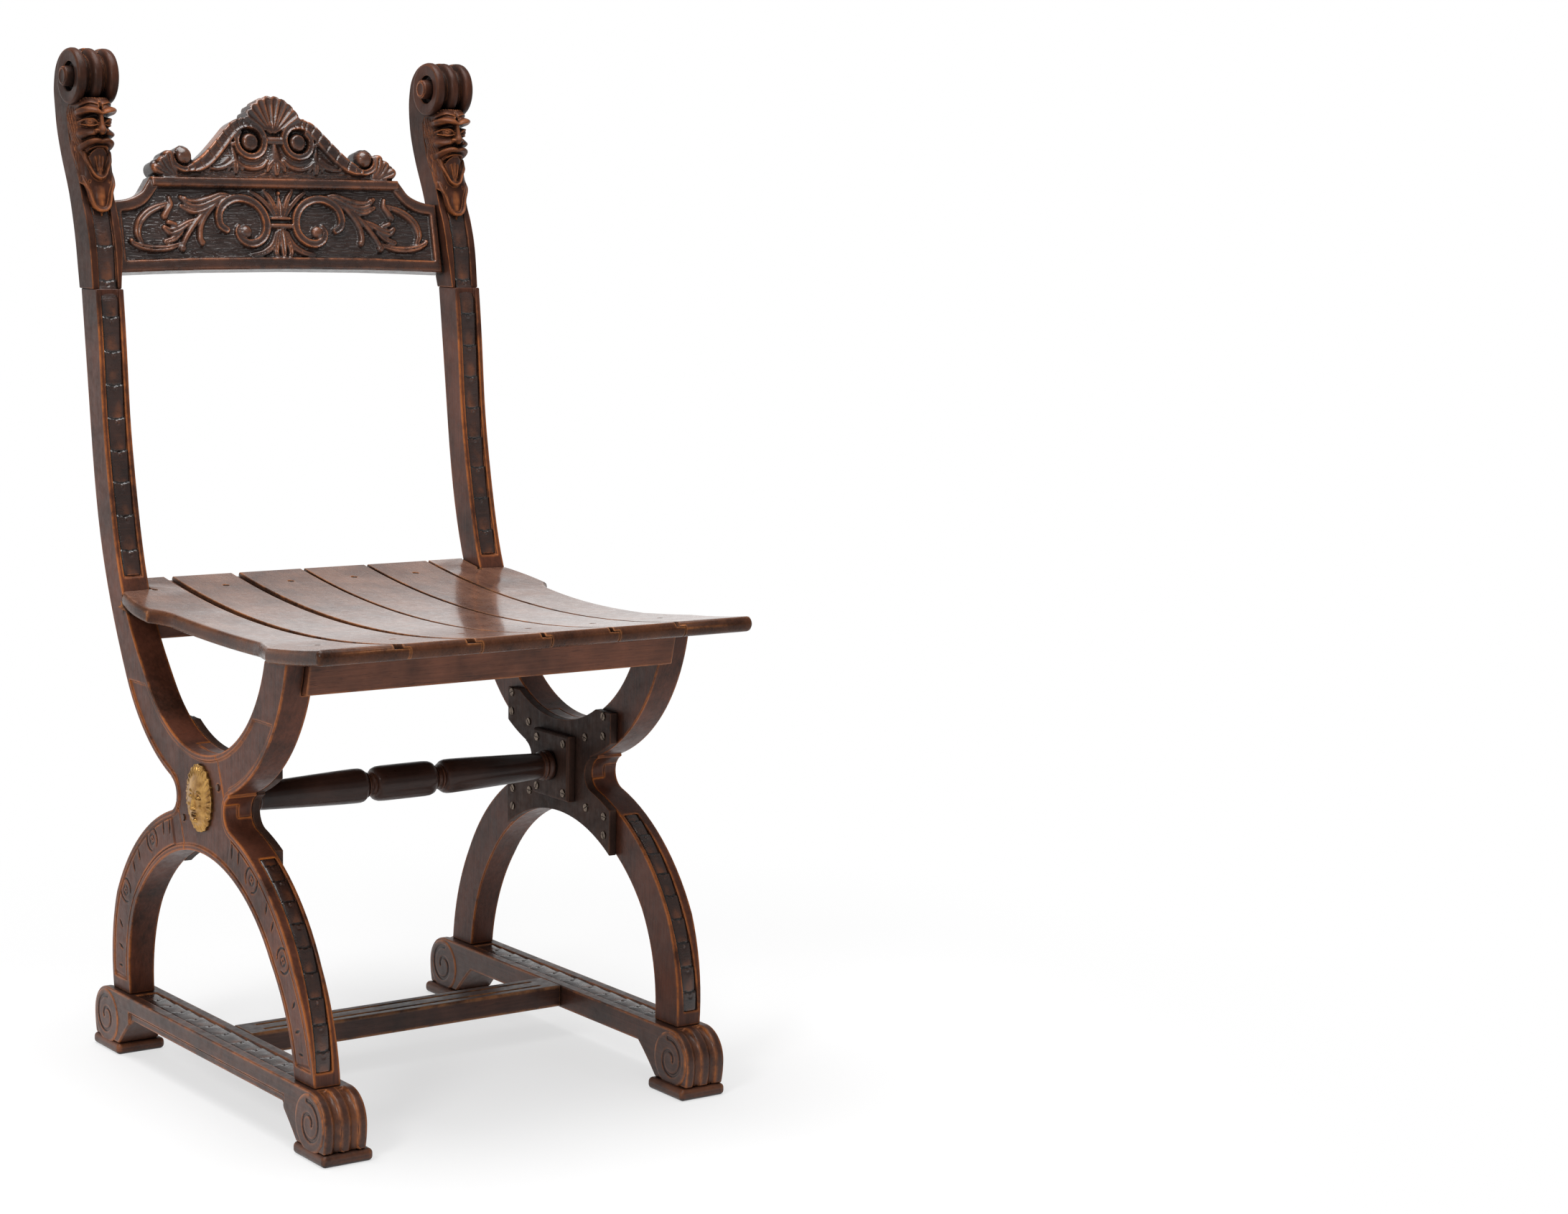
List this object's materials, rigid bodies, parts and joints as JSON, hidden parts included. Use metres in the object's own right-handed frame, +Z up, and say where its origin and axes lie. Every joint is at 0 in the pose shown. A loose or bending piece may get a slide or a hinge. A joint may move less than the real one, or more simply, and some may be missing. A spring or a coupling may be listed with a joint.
{
  "type": "side chair",
  "caption": "Savonarola-style side chair with fixed X-shaped side frames, a dished slatted seat, carved post heads and a carved crest rail.",
  "frame": {"origin": "on the floor, under the middle of the whole chair's box", "axes": "+Z up, the chair faces -Y, +X to the sitter's left"},
  "size_m": [0.494, 0.6289, 1.071],
  "materials": {
    "frame_walnut": "dark stained walnut, waxed, worn to red brown on its edges",
    "carved_walnut": "dark stained carved walnut, waxed, dust in the hollows",
    "floor_walnut": "dark stained walnut, scuffed",
    "seat_walnut": "worn brown walnut seat with a soft wax sheen",
    "beech_peg": "plain wood peg",
    "gilt_brass": "gilt cast brass, rubbed",
    "screw_steel": "dull steel slotted screw",
    "nail_iron": "dark iron nail"
  },
  "bodies": {
    "root": {"block_screws_left": "screw_steel", "block_screws_right": "screw_steel", "crest_pegs_left": "beech_peg", "crest_pegs_right": "beech_peg", "crest_rail": "carved_walnut", "crossing_plate_left": "frame_walnut", "crossing_plate_right": "frame_walnut", "floor_stretcher": "frame_walnut", "front_leg_and_post_left": "frame_walnut", "front_leg_and_post_right": "frame_walnut", "front_pad_left": "floor_walnut", "front_pad_right": "floor_walnut", "front_seat_rail": "frame_walnut", "head_dowel_left": "beech_peg", "head_dowel_right": "beech_peg", "lap_pins_left": "beech_peg", "lap_pins_right": "beech_peg", "mask_left": "gilt_brass", "mask_pins_left": "gilt_brass", "mask_pins_right": "gilt_brass", "mask_right": "gilt_brass", "pad_nails_left": "nail_iron", "pad_nails_right": "nail_iron", "plate_screws_left": "screw_steel", "plate_screws_right": "screw_steel", "post_head_left": "carved_walnut", "post_head_right": "carved_walnut", "rear_leg_and_arm_left": "frame_walnut", "rear_leg_and_arm_right": "frame_walnut", "rear_pad_left": "floor_walnut", "rear_pad_right": "floor_walnut", "rear_seat_rail": "frame_walnut", "runner_left": "floor_walnut", "runner_right": "floor_walnut", "seat_nails": "nail_iron", "seat_slat_1": "seat_walnut", "seat_slat_2": "seat_walnut", "seat_slat_3": "seat_walnut", "seat_slat_4": "seat_walnut", "seat_slat_5": "seat_walnut", "seat_slat_6": "seat_walnut", "stretcher_block_left": "frame_walnut", "stretcher_block_right": "frame_walnut", "turned_stretcher": "frame_walnut"}
  },
  "joints": []
}
